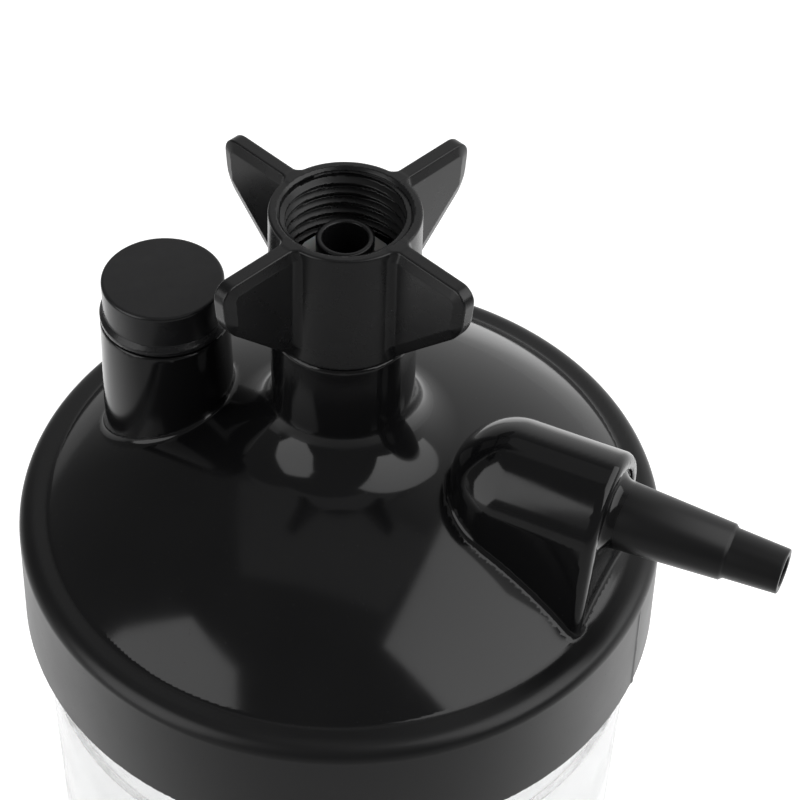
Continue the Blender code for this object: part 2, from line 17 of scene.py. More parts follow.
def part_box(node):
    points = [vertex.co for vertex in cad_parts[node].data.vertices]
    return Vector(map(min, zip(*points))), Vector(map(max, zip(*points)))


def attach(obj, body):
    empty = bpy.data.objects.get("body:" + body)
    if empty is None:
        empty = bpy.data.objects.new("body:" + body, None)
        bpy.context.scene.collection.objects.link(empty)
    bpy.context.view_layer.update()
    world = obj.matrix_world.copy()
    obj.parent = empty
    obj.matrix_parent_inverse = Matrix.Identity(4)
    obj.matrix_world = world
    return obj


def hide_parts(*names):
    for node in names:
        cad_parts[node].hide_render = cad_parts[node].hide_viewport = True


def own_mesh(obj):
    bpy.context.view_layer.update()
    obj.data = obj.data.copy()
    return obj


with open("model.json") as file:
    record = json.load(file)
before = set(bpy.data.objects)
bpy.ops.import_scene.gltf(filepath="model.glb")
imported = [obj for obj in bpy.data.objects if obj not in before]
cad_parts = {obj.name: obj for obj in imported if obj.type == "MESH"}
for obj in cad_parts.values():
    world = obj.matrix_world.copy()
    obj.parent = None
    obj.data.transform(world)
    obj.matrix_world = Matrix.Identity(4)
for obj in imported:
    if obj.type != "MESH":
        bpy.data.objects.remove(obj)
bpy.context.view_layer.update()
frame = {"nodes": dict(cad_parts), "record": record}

MM = 0.001
ROUND_SEGMENTS = 160               # facets round the large turned pieces
SMALL_SEGMENTS = 96
NEARLY_STRAIGHT = math.radians(172)

# Driving sizes, in mm, read from the frame
lid_low, lid_high = (Vector(corner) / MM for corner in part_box("lid"))
nut_low, nut_high = (Vector(corner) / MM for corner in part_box("wing_nut"))
cap_low, cap_high = (Vector(corner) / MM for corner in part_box("relief_cap"))
bottle_low, bottle_high = (Vector(corner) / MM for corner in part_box("bottle"))
outlet_mount = next(mount for mount in frame["record"]["mounts"] if mount["name"] == "outlet_end")
OUTLET_X, OUTLET_Y = outlet_mount["axis"][:2]

SKIRT_RADIUS = -lid_low.x
SKIRT_BOTTOM = -14.4
DATUM = lid_low.z - SKIRT_BOTTOM   # height of the lid's datum plane
STEM_TOP = lid_high.z - DATUM
NUT_BOTTOM = nut_low.z - DATUM
NUT_TOP = nut_high.z - DATUM
TOWER_X = (cap_low.x + cap_high.x) / 2
TOWER_Y = (cap_low.y + cap_high.y) / 2
CAP_TOP = cap_high.z - DATUM

# Lid; its heights, and the nut's and cap's, are above the datum plane
RIM_RADIUS = 39.2
RIM_TOP = 1.1
RIM_ROUND = 2.0
RIM_SEAM = 0.25                    # fillet between the dome and the rim
DOME_RADIUS = 53.2
DOME_CENTRE = -38.4
WALL = 2.0
CEILING = -2.0
CAVITY_RADIUS = 33.0
STEM_RADIUS = 8.35
STEM_EDGE = 0.4
STEM_BORE = 4.85
STEM_BORE_FOOT = 15.5
STEM_FILLET = 5.5
BOSS_RADIUS = 5.4
BOSS_FOOT = -6.0
PASSAGE_RADIUS = 2.0
PASSAGE_FOOT = 8.0
SOCKET_RADIUS = 3.3                # takes the dip tube
SOCKET_TOP = 8.5
TOWER_RADIUS = 7.6
TOWER_TOP = 23.2
TOWER_DRAFT = 0.5
TOWER_DRAFT_FOOT = 5.0
TOWER_ROOT = 2.0
TOWER_EDGE = 0.3
TOWER_FILLET = 0.7
TOWER_BORE = 6.0
TOWER_FLOOR = 10.4
WELL_FOOT = 12.4
SEAT_HOLE_RADIUS = 2.2
SKIRT_BORE = 37.4
SKIRT_TOP = -0.9
SKIRT_EDGE = 0.4
PARTING_PROUD = 0.16
PARTING_HALF = 0.3
THREAD_PITCH = 4.0
THREAD_CREST = 35.9
THREAD_START = -10.6

# Outlet
OUTLET_Z = 14.4
COWL_RADIUS = 7.5
ARCH_POWER = 1.65                  # 2 is a circle; less has flatter shoulders
COWL_CENTRE = 22.2
COWL_FACE = 34.6
COWL_LEAN = math.radians(6.7)
COWL_ROOT = 0.6
COWL_EDGE = 1.2
COWL_FILLET = 0.6
RECESS_BORDER = 2.0
RECESS_DEPTH = 0.5
RECESS_EDGE = 0.25
BARB_RADIUS = 4.05
BARB_FLARE = 1.4                   # the fillet at the barb's root
BARB_STEP = 48.2
BARB_END = 54.6
BARB_BORE = 1.8

# Nut
NUT_RADIUS = 8.5
NUT_MOUTH = 7.2
NUT_FLOOR = 31.9
NUT_LIP_BORE = 4.9
NUT_EDGE = 0.3
NUT_CHAMFER = 0.35
NUT_PITCH = 25.4 / 18
NUT_THREAD_CREST = 6.55
WING_TIP = 18.7
WING_HALF = 1.2
WING_EDGE_HALF = 0.78              # half the thickness at the bevelled edge
WING_BEVEL = 0.32
WING_FILLET = 0.8

# Cap
CAP_RADIUS = 7.15
CAP_BORE = 4.7
CAP_ROOM_TOP = 27.5
CAP_PLUG_RADIUS = 5.7
CAP_PLUG_FOOT = 20.2
VENT_Z = 26.5
VENT_RADIUS = 0.7

# Bottle
BODY_RADIUS = bottle_high.x
SHOULDER_Z = DATUM - 23.0
BOTTLE_WALL = 1.7
BOTTLE_FLOOR = 2.4
NECK_RADIUS = 35.2
NECK_BORE = 33.4
NECK_THREAD_CREST = 36.7
LEVEL_MARKS = 5


# ---------------------------------------------------------------- distance fields

def hard_min(*fields):
    return np.minimum.reduce(np.broadcast_arrays(*fields))


def hard_max(*fields):
    return np.maximum.reduce(np.broadcast_arrays(*fields))


def round_union(a, b, radius):
    """Joins two fields with a concave fillet."""
    near_a = np.maximum(radius - a, 0.0)
    near_b = np.maximum(radius - b, 0.0)
    return np.maximum(radius, np.minimum(a, b)) - np.hypot(near_a, near_b)


def round_cross(a, b, radius):
    """Keeps what two fields share, with a rounded edge."""
    return -round_union(-a, -b, radius)


def slope_of(field, points, reach=0.02):
    """The field's gradient at each point, by central differences."""
    slope = np.empty_like(points)
    for axis in range(3):
        step = np.zeros(3)
        step[axis] = reach
        ahead = field(*(points + step).T)
        behind = field(*(points - step).T)
        slope[:, axis] = (ahead - behind) / (2 * reach)
    return slope


def cell_corners(field, low, high, step):
    """Samples the field on a grid; returns the grid's origin and the values."""
    counts = [int(math.ceil((b - a) / step)) + 4 for a, b in zip(low, high)]
    origin = np.array(low) - 1.5 * step
    axes = [origin[axis] + step * np.arange(counts[axis]) for axis in range(3)]
    x = axes[0][:, None, None]
    y = axes[1][None, :, None]
    z = axes[2][None, None, :]
    values = np.broadcast_to(field(x, y, z), counts)
    return origin, np.array(values, dtype=np.float32)


def net_points(values, cells, origin, step):
    """One point for each crossed cell: the mean of where the surface cuts its edges."""
    corners = list(itertools.product((0, 1), repeat=3))
    sampled = {corner: values[tuple((cells + corner).T)] for corner in corners}
    total = np.zeros((len(cells), 3))
    hits = np.zeros(len(cells))
    for start in corners:
        for axis in range(3):
            if start[axis]:
                continue
            end = tuple(1 if other == axis else start[other] for other in range(3))
            first, last = sampled[start], sampled[end]
            crossed = (first < 0) != (last < 0)
            spread = np.where(crossed, first - last, 1.0)
            share = np.where(crossed, first / spread, 0.0)
            place = np.tile(np.array(start, float), (len(cells), 1))
            place[:, axis] = share
            total += place * crossed[:, None]
            hits += crossed
    return origin + step * (cells + total / hits[:, None])


def net_faces(inside, index):
    """A quad across each grid edge that the surface cuts, facing outwards."""
    quads = []
    for axis in range(3):
        side, other = (axis + 1) % 3, (axis + 2) % 3
        near = np.take(inside, range(inside.shape[axis] - 1), axis)
        far = np.take(inside, range(1, inside.shape[axis]), axis)
        for solid_first in (True, False):
            crossed = (near & ~far) if solid_first else (~near & far)
            edge = np.argwhere(crossed)
            ring = []
            for back_side, back_other in ((1, 1), (0, 1), (0, 0), (1, 0)):
                cell = edge.copy()
                cell[:, side] -= back_side
                cell[:, other] -= back_other
                ring.append(index[tuple(cell.T)])
            if not solid_first:
                ring.reverse()
            quads.append(np.stack(ring, axis=1))
    return np.concatenate(quads)


def relax(points, quads):
    """Moves each point half way to the mean of its neighbours."""
    total = np.zeros_like(points)
    count = np.zeros(len(points))
    for a, b in ((0, 1), (1, 2), (2, 3), (3, 0)):
        np.add.at(total, quads[:, a], points[quads[:, b]])
        np.add.at(total, quads[:, b], points[quads[:, a]])
        np.add.at(count, quads[:, a], 1)
        np.add.at(count, quads[:, b], 1)
    return 0.5 * points + 0.5 * total / count[:, None]


def draw_on(field, points, limit):
    """Moves each point onto the field's zero surface, by no more than a limit."""
    slope = slope_of(field, points)
    steep = np.maximum((slope ** 2).sum(axis=1), 0.05)
    move = slope * (field(*points.T) / steep)[:, None]
    length = np.linalg.norm(move, axis=1)
    move *= np.minimum(1.0, limit / np.maximum(length, 1e-9))[:, None]
    return points - move


def field_piece(name, field, low, high, step, lift=0.0):
    """A closed mesh of a field's zero surface, with the field's own normals."""
    origin, values = cell_corners(field, low, high, step)
    inside = values < 0
    across, deep, tall = np.array(inside.shape) - 1
    count = np.zeros((across, deep, tall), dtype=np.int8)
    for a, b, c in itertools.product((0, 1), repeat=3):
        count += inside[a:across + a, b:deep + b, c:tall + c]
    cells = np.argwhere((count > 0) & (count < 8))
    index = np.full(count.shape, -1, dtype=np.int64)
    index[tuple(cells.T)] = np.arange(len(cells))
    points = net_points(values, cells, origin, step)
    quads = net_faces(inside, index)
    for _ in range(3):
        points = relax(points, quads)
        for _ in range(3):
            points = draw_on(field, points, step / 2)
    slope = slope_of(field, points)
    slope /= np.maximum(np.linalg.norm(slope, axis=1), 1e-9)[:, None]
    mesh = bpy.data.meshes.new(name)
    placed = (points + (0.0, 0.0, lift)) * MM
    mesh.from_pydata(placed.tolist(), [], quads.tolist())
    mesh.shade_smooth()
    mesh.normals_split_custom_set_from_vertices(slope.tolist())
    piece = bpy.data.objects.new(name, mesh)
    bpy.context.scene.collection.objects.link(piece)
    return piece


# ---------------------------------------------------------------- turned pieces

def soften(profile, radius, steps=4, closed=True):
    """Rounds each corner of a profile; an open profile keeps its two ends."""
    count = len(profile)
    points = []
    for place, corner in enumerate(profile):
        if not closed and place in (0, count - 1):
            points.append(corner)
            continue
        here = Vector(corner)
        before = Vector(profile[place - 1]) - here
        after = Vector(profile[(place + 1) % count]) - here
        turn = before.angle(after)
        if turn > NEARLY_STRAIGHT:
            points.append(corner)
            continue
        cut = min(radius / math.tan(turn / 2), 0.45 * before.length, 0.45 * after.length)
        start = here + before.normalized() * cut
        end = here + after.normalized() * cut
        for step in range(steps + 1):
            share = step / steps
            blend = (1 - share) ** 2 * start + 2 * share * (1 - share) * here + share ** 2 * end
            points.append((blend.x, blend.y))
    return points


def turned_mesh(profile, segments, closed=True):
    """Spins a profile round the upright axis."""
    work = bmesh.new()
    verts = [work.verts.new((r * MM, 0.0, z * MM)) for r, z in profile]
    pairs = list(zip(verts, verts[1:]))
    if closed:
        pairs.append((verts[-1], verts[0]))
    edges = [work.edges.new(pair) for pair in pairs]
    bmesh.ops.spin(work, geom=verts + edges, cent=(0, 0, 0), axis=(0, 0, 1),
                   angle=2 * math.pi, steps=segments, use_merge=True)
    bmesh.ops.remove_doubles(work, verts=work.verts, dist=1e-7)
    return work


def mesh_piece(name, work, sharp=50):
    """Makes an object of a bmesh, smooth but for edges sharper than an angle in degrees."""
    bmesh.ops.recalc_face_normals(work, faces=work.faces)
    mesh = bpy.data.meshes.new(name)
    work.to_mesh(mesh)
    work.free()
    mesh.shade_smooth()
    mesh.set_sharp_from_angle(angle=math.radians(sharp))
    piece = bpy.data.objects.new(name, mesh)
    bpy.context.scene.collection.objects.link(piece)
    return piece


def turned(name, profile, at=(0.0, 0.0, 0.0), segments=SMALL_SEGMENTS, closed=True):
    """A turned piece whose profile is in mm, moved so that its axis passes through a point."""
    work = turned_mesh(profile, segments, closed)
    bmesh.ops.translate(work, vec=Vector(at) * MM, verts=work.verts)
    return mesh_piece(name, work)


def skin_rings(work, rings):
    """Joins equal rings of vertices into a closed tube with capped ends."""
    for first, last in zip(rings, rings[1:]):
        for a in range(len(first)):
            b = (a + 1) % len(first)
            work.faces.new((first[a], first[b], last[b], last[a]))
    work.faces.new(rings[0])
    work.faces.new(rings[-1])


# ---------------------------------------------------------------- materials

class Look:
    """A Principled material with helpers that add procedural detail to it."""

    def __init__(self, name, colour, roughness, **sockets):
        self.material = bpy.data.materials.new(name)
        self.material.use_nodes = True
        self.nodes = self.material.node_tree.nodes
        self.links = self.material.node_tree.links
        self.shader = self.nodes["Principled BSDF"]
        self.shader.inputs["Base Color"].default_value = (*colour, 1.0)
        self.shader.inputs["Roughness"].default_value = roughness
        for socket, value in sockets.items():
            self.shader.inputs[socket.replace("_", " ")].default_value = value
        self.place = self.nodes.new("ShaderNodeTexCoord").outputs["Object"]
        self.bump = None

    def noise(self, scale, detail=3.0, roughness=0.5):
        node = self.nodes.new("ShaderNodeTexNoise")
        node.inputs["Scale"].default_value = scale
        node.inputs["Detail"].default_value = detail
        node.inputs["Roughness"].default_value = roughness
        self.links.new(self.place, node.inputs["Vector"])
        return node.outputs["Fac"]

    def cells(self, scale, feature="F1"):
        node = self.nodes.new("ShaderNodeTexVoronoi")
        node.feature = feature
        node.inputs["Scale"].default_value = scale
        self.links.new(self.place, node.inputs["Vector"])
        return node.outputs["Distance"]

    def spread(self, value, low, high, start=0.3, end=0.7):
        """Maps a value that runs from start to end onto low to high."""
        node = self.nodes.new("ShaderNodeMapRange")
        node.interpolation_type = "SMOOTHSTEP"
        self.links.new(value, node.inputs["Value"])
        node.inputs["From Min"].default_value = start
        node.inputs["From Max"].default_value = end
        node.inputs["To Min"].default_value = low
        node.inputs["To Max"].default_value = high
        return node.outputs["Result"]

    def combine(self, operation, first, second):
        node = self.nodes.new("ShaderNodeMath")
        node.operation = operation
        for socket, value in zip(node.inputs, (first, second)):
            if isinstance(value, (int, float)):
                socket.default_value = value
            else:
                self.links.new(value, socket)
        return node.outputs["Value"]

    def vary_colour(self, value, dark, light):
        ramp = self.nodes.new("ShaderNodeValToRGB")
        ramp.color_ramp.elements[0].position = 0.3
        ramp.color_ramp.elements[0].color = (*dark, 1.0)
        ramp.color_ramp.elements[1].position = 0.7
        ramp.color_ramp.elements[1].color = (*light, 1.0)
        self.links.new(value, ramp.inputs["Fac"])
        self.links.new(ramp.outputs["Color"], self.shader.inputs["Base Color"])

    def vary_roughness(self, value):
        self.links.new(value, self.shader.inputs["Roughness"])

    def add_bump(self, value, strength, depth_mm):
        node = self.nodes.new("ShaderNodeBump")
        node.inputs["Strength"].default_value = strength
        node.inputs["Distance"].default_value = depth_mm * MM
        self.links.new(value, node.inputs["Height"])
        if self.bump is not None:
            self.links.new(self.bump, node.inputs["Normal"])
        self.bump = node.outputs["Normal"]
        self.links.new(self.bump, self.shader.inputs["Normal"])

    def from_axis(self):
        """Distance from the bottle's axis, in metres."""
        flat = self.nodes.new("ShaderNodeVectorMath")
        flat.operation = "MULTIPLY"
        flat.inputs[1].default_value = (1.0, 1.0, 0.0)
        self.links.new(self.place, flat.inputs[0])
        length = self.nodes.new("ShaderNodeVectorMath")
        length.operation = "LENGTH"
        self.links.new(flat.outputs["Vector"], length.inputs[0])
        return length.outputs["Value"]

    def upward(self):
        """1 on faces that look straight up, falling to 0 on upright ones."""
        normal = self.nodes.new("ShaderNodeNewGeometry").outputs["Normal"]
        split = self.nodes.new("ShaderNodeSeparateXYZ")
        self.links.new(normal, split.inputs["Vector"])
        return split.outputs["Z"]


def gloss_black():
    """Injection-moulded black: polished inside the rim, satin on the rim, skirt and barb.

    It has faint flow waves, haze and a few specks of dust.
    """
    look = Look("black_gloss_plastic", (0.007, 0.007, 0.0075), 0.1)
    look.vary_colour(look.noise(60, 4), (0.0055, 0.0055, 0.006), (0.009, 0.009, 0.0095))
    haze = look.spread(look.noise(45, 5, 0.6), 0.08, 0.15)
    specks = look.spread(look.cells(900), 0.25, 0.0, 0.02, 0.09)
    rim_foot = (0.0353, 0.0361)    # metres from the axis
    satin = look.spread(look.from_axis(), 0.0, 0.22, *rim_foot)
    look.vary_roughness(look.combine("ADD", look.combine("ADD", haze, specks), satin))
    look.add_bump(look.noise(38, 2), 0.25, 0.12)
    look.add_bump(look.noise(4200, 2), 0.04, 0.01)
    return look.material


def nut_black():
    """The nut's less polished black, with a fine tool texture."""
    look = Look("black_nut_plastic", (0.009, 0.009, 0.0095), 0.26)
    look.vary_colour(look.noise(150, 4), (0.008, 0.008, 0.0085), (0.01, 0.01, 0.0105))
    look.vary_roughness(look.spread(look.noise(220, 4, 0.6), 0.25, 0.3))
    look.add_bump(look.noise(90, 2), 0.12, 0.04)
    look.add_bump(look.noise(3200, 3), 0.05, 0.01)
    return look.material


def satin_black():
    """The cap: a spark-textured top, and a smoother side."""
    look = Look("black_satin_plastic", (0.016, 0.016, 0.017), 0.4)
    look.vary_colour(look.noise(300, 4), (0.014, 0.014, 0.015), (0.019, 0.019, 0.02))
    by_face = look.spread(look.upward(), 0.2, 0.46, 0.5, 0.95)
    grain = look.spread(look.noise(900, 3), -0.03, 0.03)
    look.vary_roughness(look.combine("ADD", by_face, grain))
    look.add_bump(look.noise(5200, 3), 0.25, 0.02)
    return look.material


def clear_plastic():
    """Blow-moulded clear plastic with slight waves and a milky cast."""
    look = Look("clear_bottle_plastic", (0.98, 0.985, 0.985), 0.24, Transmission_Weight=0.9,
                IOR=1.4)
    look.vary_colour(look.noise(20, 3), (0.975, 0.98, 0.982), (0.99, 0.992, 0.992))
    look.vary_roughness(look.spread(look.noise(70, 3), 0.18, 0.28))
    look.add_bump(look.noise(14, 1), 0.05, 0.2)
    return look.material


def white_rubber():
    look = Look("white_silicone_rubber", (0.78, 0.78, 0.75), 0.5, Subsurface_Weight=0.15,
                Subsurface_Scale=0.002)
    look.vary_colour(look.noise(240, 4), (0.72, 0.72, 0.69), (0.81, 0.81, 0.79))
    look.vary_roughness(look.spread(look.noise(600, 3), 0.42, 0.6))
    look.add_bump(look.noise(2600, 3), 0.2, 0.02)
    return look.material


def white_moulding():
    look = Look("white_moulded_plastic", (0.82, 0.82, 0.8), 0.32, Subsurface_Weight=0.08,
                Subsurface_Scale=0.001)
    look.vary_colour(look.noise(160, 4), (0.78, 0.78, 0.76), (0.85, 0.85, 0.83))
    look.vary_roughness(look.spread(look.noise(350, 4), 0.25, 0.4))
    look.add_bump(look.noise(2200, 3), 0.15, 0.015)
    return look.material


def spring_wire():
    look = Look("spring_steel_wire", (0.62, 0.62, 0.63), 0.25, Metallic=1.0)
    look.vary_colour(look.noise(900, 4), (0.5, 0.5, 0.51), (0.68, 0.68, 0.69))
    look.vary_roughness(look.spread(look.noise(1500, 3), 0.18, 0.36))
    look.add_bump(look.noise(4000, 3), 0.2, 0.01)
    return look.material


def tube_look():
    look = Look("translucent_tube", (0.9, 0.92, 0.93), 0.2, Transmission_Weight=0.6, IOR=1.48)
    look.vary_colour(look.noise(90, 3), (0.87, 0.9, 0.91), (0.94, 0.95, 0.95))
    look.vary_roughness(look.spread(look.noise(260, 3), 0.14, 0.3))
    look.add_bump(look.noise(500, 2), 0.15, 0.03)
    return look.material


def stone_look():
    """Sintered beads, with painted shade: lighter on their crowns and darker in the gaps between
    them.
    """
    look = Look("porous_bead_stone", (0.6, 0.58, 0.53), 0.95)
    beads = look.cells(1300)
    # painted shade: the colour darkens into the gaps between the beads
    look.vary_colour(look.combine("ADD", beads, look.spread(look.noise(500, 4), -0.15, 0.15)),
                     (0.68, 0.66, 0.61), (0.36, 0.34, 0.3))
    look.vary_roughness(look.spread(look.noise(900, 3), 0.85, 1.0))
    look.add_bump(beads, 0.9, -0.5)
    return look.material


# ---------------------------------------------------------------- lid

def along_outlet(x, y):
    """Distance along the outlet's direction, and distance to its side."""
    return x * OUTLET_X + y * OUTLET_Y, y * OUTLET_X - x * OUTLET_Y


def cowl_section(x, y, z, inset):
    """The cowl without its face: a flat-shouldered arch on leaning walls, turned round behind."""
    along, side = along_outlet(x, y)
    back = np.minimum(along - COWL_CENTRE, 0.0)
    out = np.hypot(back, side)
    up = z - OUTLET_Z
    radius = COWL_RADIUS - inset
    lean_cos, lean_sin = math.cos(COWL_LEAN), math.sin(COWL_LEAN)
    arch = (out ** ARCH_POWER + np.abs(up) ** ARCH_POWER) ** (1 / ARCH_POWER) - radius
    dual = ARCH_POWER / (ARCH_POWER - 1)
    reach = radius * (lean_cos ** dual + lean_sin ** dual) ** (1 / dual)
    wall = out * lean_cos + up * lean_sin - reach
    above = up > out * math.tan(COWL_LEAN) ** (1 / (ARCH_POWER - 1))
    return np.where(above, arch, wall)


def helix_offset(x, y, z, pitch, start_z, start_angle=0.0):
    """Signed height above the nearest turn of a right-hand helix."""
    turn = (np.arctan2(y, x) - start_angle) / (2 * math.pi)
    rise = z - start_z - pitch * turn
    return (rise + pitch / 2) % pitch - pitch / 2


def lid_outside(x, y, z):
    r = np.hypot(x, y)
    along, across = along_outlet(x, y)
    dome = hard_max(np.hypot(r, z - DOME_CENTRE) - DOME_RADIUS, -z)
    stem = round_cross(r - STEM_RADIUS, z - STEM_TOP, STEM_EDGE)
    crown = round_union(dome, stem, STEM_FILLET)
    tower_r = np.hypot(x - TOWER_X, y - TOWER_Y)
    draft = TOWER_DRAFT * (TOWER_TOP - z) / (TOWER_TOP - TOWER_DRAFT_FOOT)
    tower = round_cross(tower_r - TOWER_RADIUS - draft, z - TOWER_TOP, TOWER_EDGE)
    crown = round_union(crown, hard_max(tower, TOWER_ROOT - z), TOWER_FILLET)
    cowl = round_cross(cowl_section(x, y, z, 0.0), along - COWL_FACE, COWL_EDGE)
    cowl = round_cross(cowl, -cowl_recess(x, y, z), RECESS_EDGE)
    crown = round_union(crown, hard_max(cowl, COWL_ROOT - z), COWL_FILLET)
    share_down = np.clip((SKIRT_TOP - z) / (SKIRT_TOP - SKIRT_BOTTOM), 0.0, 1.0)
    skirt_draft = (SKIRT_RADIUS - RIM_RADIUS) * share_down
    parting_line = PARTING_PROUD * np.exp(-(across / PARTING_HALF) ** 2)
    parting_line = parting_line * (along > 0) * (z < SKIRT_TOP - 0.3)
    side = r - RIM_RADIUS - skirt_draft - parting_line
    rim = round_cross(side, z - RIM_TOP, RIM_ROUND)
    rim = round_cross(rim, SKIRT_BOTTOM - z, SKIRT_EDGE)
    return round_union(crown, rim, RIM_SEAM)


def lid_hollow(x, y, z):
    """Everything inside the lid that is open."""
    r = np.hypot(x, y)
    below = SKIRT_BOTTOM - 2.0
    neck_room = round_cross(r - SKIRT_BORE, z - CEILING, 0.4)
    inner = np.hypot(r, z - DOME_CENTRE) - (DOME_RADIUS - WALL)
    dome_room = hard_max(inner, r - CAVITY_RADIUS, below - z)
    room = hard_min(neck_room, dome_room)
    boss = hard_max(r - BOSS_RADIUS, BOSS_FOOT - z)
    tower_r = np.hypot(x - TOWER_X, y - TOWER_Y)
    tower_plug = hard_max(tower_r - TOWER_RADIUS, TOWER_FLOOR - z)
    room = round_cross(room, -boss, 1.0)
    room = round_cross(room, -tower_plug, 0.6)
    along = along_outlet(x, y)[0]
    cowl_room = round_cross(cowl_section(x, y, z, WALL), along - COWL_FACE + WALL, 0.6)
    cowl_room = hard_max(cowl_room, COWL_ROOT + 1.0 - z)
    room = hard_min(room, cowl_room)
    stem_bore = hard_max(r - STEM_BORE, STEM_BORE_FOOT - z)
    passage = hard_max(r - PASSAGE_RADIUS, PASSAGE_FOOT - z)
    socket = hard_max(r - SOCKET_RADIUS, z - SOCKET_TOP)
    valve_well = hard_max(tower_r - TOWER_BORE, WELL_FOOT - z)
    seat_hole = hard_max(tower_r - SEAT_HOLE_RADIUS, 5.5 - z, z - WELL_FOOT - 1.6)
    return hard_min(room, stem_bore, passage, socket, valve_well, seat_hole)


def lid_thread(x, y, z):
    """The ridge inside the skirt."""
    crest_half, flank_slope, low, high = 0.35, 0.36, -11.4, -4.4
    r = np.hypot(x, y)
    offset = helix_offset(x, y, z, THREAD_PITCH, THREAD_START)
    half = crest_half + (r - THREAD_CREST) * flank_slope
    ridge = np.abs(offset) - half
    return hard_max(ridge, THREAD_CREST - r, r - SKIRT_BORE - 0.8, low - z, z - high)


def cowl_recess(x, y, z):
    """The shallow step inside the border of the cowl's face."""
    along = along_outlet(x, y)[0]
    return hard_max(cowl_section(x, y, z, RECESS_BORDER), COWL_FACE - RECESS_DEPTH - along)


def barb_duct(x, y, z):
    """The barb's bore, from inside the cowl out through its face."""
    start = COWL_FACE - 4.0
    along, side = along_outlet(x, y)
    return hard_max(np.hypot(side, z - OUTLET_Z) - BARB_BORE, start - along)


def lid_field(x, y, z):
    solid = hard_max(lid_outside(x, y, z), -lid_hollow(x, y, z))
    solid = hard_min(solid, lid_thread(x, y, z))
    return hard_max(solid, -barb_duct(x, y, z))


def make_lid(look):
    reach = SKIRT_RADIUS
    lid = field_piece("lid_shell", lid_field, (-reach, -reach, SKIRT_BOTTOM),
                      (reach, reach, STEM_TOP), 0.45, DATUM)
    finish_piece(lid, look, "black_gloss", "lid", "lid")


def make_barb(look):
    """The outlet's spigot, flaring into the cowl's face at its root."""
    root, flare_start = COWL_FACE - 0.9, COWL_FACE - 0.45
    profile = [(BARB_RADIUS + BARB_FLARE, root), (BARB_RADIUS + BARB_FLARE, flare_start)]
    for step in range(9):
        angle = math.radians(90 * step / 8)
        profile.append((BARB_RADIUS + BARB_FLARE * (1 - math.sin(angle)),
                        flare_start + BARB_FLARE * (1 - math.cos(angle))))
    end = soften([(3.33, BARB_STEP - 0.25), (3.05, BARB_STEP + 0.05), (2.97, BARB_STEP + 0.2),
                  (2.64, BARB_END), (BARB_BORE, BARB_END), (BARB_BORE, root)], 0.22, 4,
                 closed=False)
    work = turned_mesh(profile + end, SMALL_SEGMENTS)
    lay_down = Matrix(((0, OUTLET_Y, OUTLET_X, 0), (0, -OUTLET_X, OUTLET_Y, 0),
                       (1, 0, 0, (DATUM + OUTLET_Z) * MM), (0, 0, 0, 1)))
    bmesh.ops.transform(work, matrix=lay_down, verts=work.verts)
    barb = mesh_piece("outlet_barb", work)
    finish_piece(barb, look, "black_gloss", "lid", "lid")


# ---------------------------------------------------------------- nut, nipple, cap

def wing_fold(x, y):
    """Folds the plane onto one wing: distance out along it, to its side, and from the axis."""
    around = np.arctan2(y, x)
    quarter = math.pi / 2
    within = (around % quarter) - quarter / 2
    r = np.hypot(x, y)
    return r * np.cos(within), r * np.sin(within), r


def nut_field(x, y, z):
    """The hub with its four wings, each bevelled towards its outline, and its inner thread."""
    tip_lean, low_edge_foot, tip_round, low_round = 0.08, 21.9, 2.0, 1.2
    out, side, r = wing_fold(x, y)
    tip = out - WING_TIP + tip_lean * (NUT_TOP - z)
    low_edge = (out - z + low_edge_foot) / math.sqrt(2)
    outline = round_cross(tip, z - NUT_TOP, tip_round)
    outline = round_cross(outline, low_edge, low_round)
    width = np.abs(side)
    flank = (width - WING_EDGE_HALF + WING_BEVEL * outline) / math.hypot(1.0, WING_BEVEL)
    wing = round_cross(hard_max(width - WING_HALF, flank), outline, 0.15)
    hub = r - NUT_RADIUS + 0.01 * (z - NUT_TOP + 8.0)
    hub = round_cross(hub, z - NUT_TOP, NUT_EDGE)
    body = round_union(hub, hard_max(wing, low_edge), WING_FILLET)
    body = round_cross(body, z - NUT_TOP, 0.1)
    body = round_cross(body, NUT_BOTTOM - z, 0.25)
    mouth = r - NUT_MOUTH - np.clip(z - NUT_TOP + NUT_CHAMFER, 0.0, NUT_CHAMFER)
    crest_half, flank_slope, thread_low, below_top = 0.1, 0.62, 37.6, 0.55
    offset = helix_offset(x, y, z, NUT_PITCH, thread_low + 0.8)
    half = crest_half + (r - NUT_THREAD_CREST) * flank_slope
    ridge = hard_max(np.abs(offset) - half, NUT_THREAD_CREST - r, z - NUT_TOP + below_top,
                     thread_low - z)
    room = hard_max(mouth, NUT_FLOOR - z)
    hollow = hard_min(room, r - NUT_LIP_BORE)
    return hard_min(hard_max(body, -hollow), hard_max(ridge, r - NUT_MOUTH - 0.4))


def make_nut(look):
    reach = nut_high.x
    nut = field_piece("nut_with_wings", nut_field, (-reach, -reach, NUT_BOTTOM),
                      (reach, reach, NUT_TOP), 0.19, DATUM)
    finish_piece(nut, look, "black_gloss", "nut", "wing_nut")


def make_nipple(look):
    """A shank with the O-ring's groove, a flange that the nut pulls on, and the nose."""
    low, top = (corner[2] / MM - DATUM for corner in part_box("inlet_nipple"))
    shank, groove, flange, nose, bore = 4.55, 3.3, 6.1, 3.25, 2.5
    profile = soften([
        (bore, low), (shank, low), (shank, 21.9), (groove, 21.9), (groove, 23.7),
        (shank, 23.7), (shank, 35.2), (flange, 35.2), (flange, 37.3), (nose, 37.3),
        (nose, top), (bore, top),
    ], 0.35, 5)
    nipple = turned("nipple_nose", profile, (0, 0, DATUM))
    finish_piece(nipple, look, "black_gloss", "lid", "inlet_nipple")


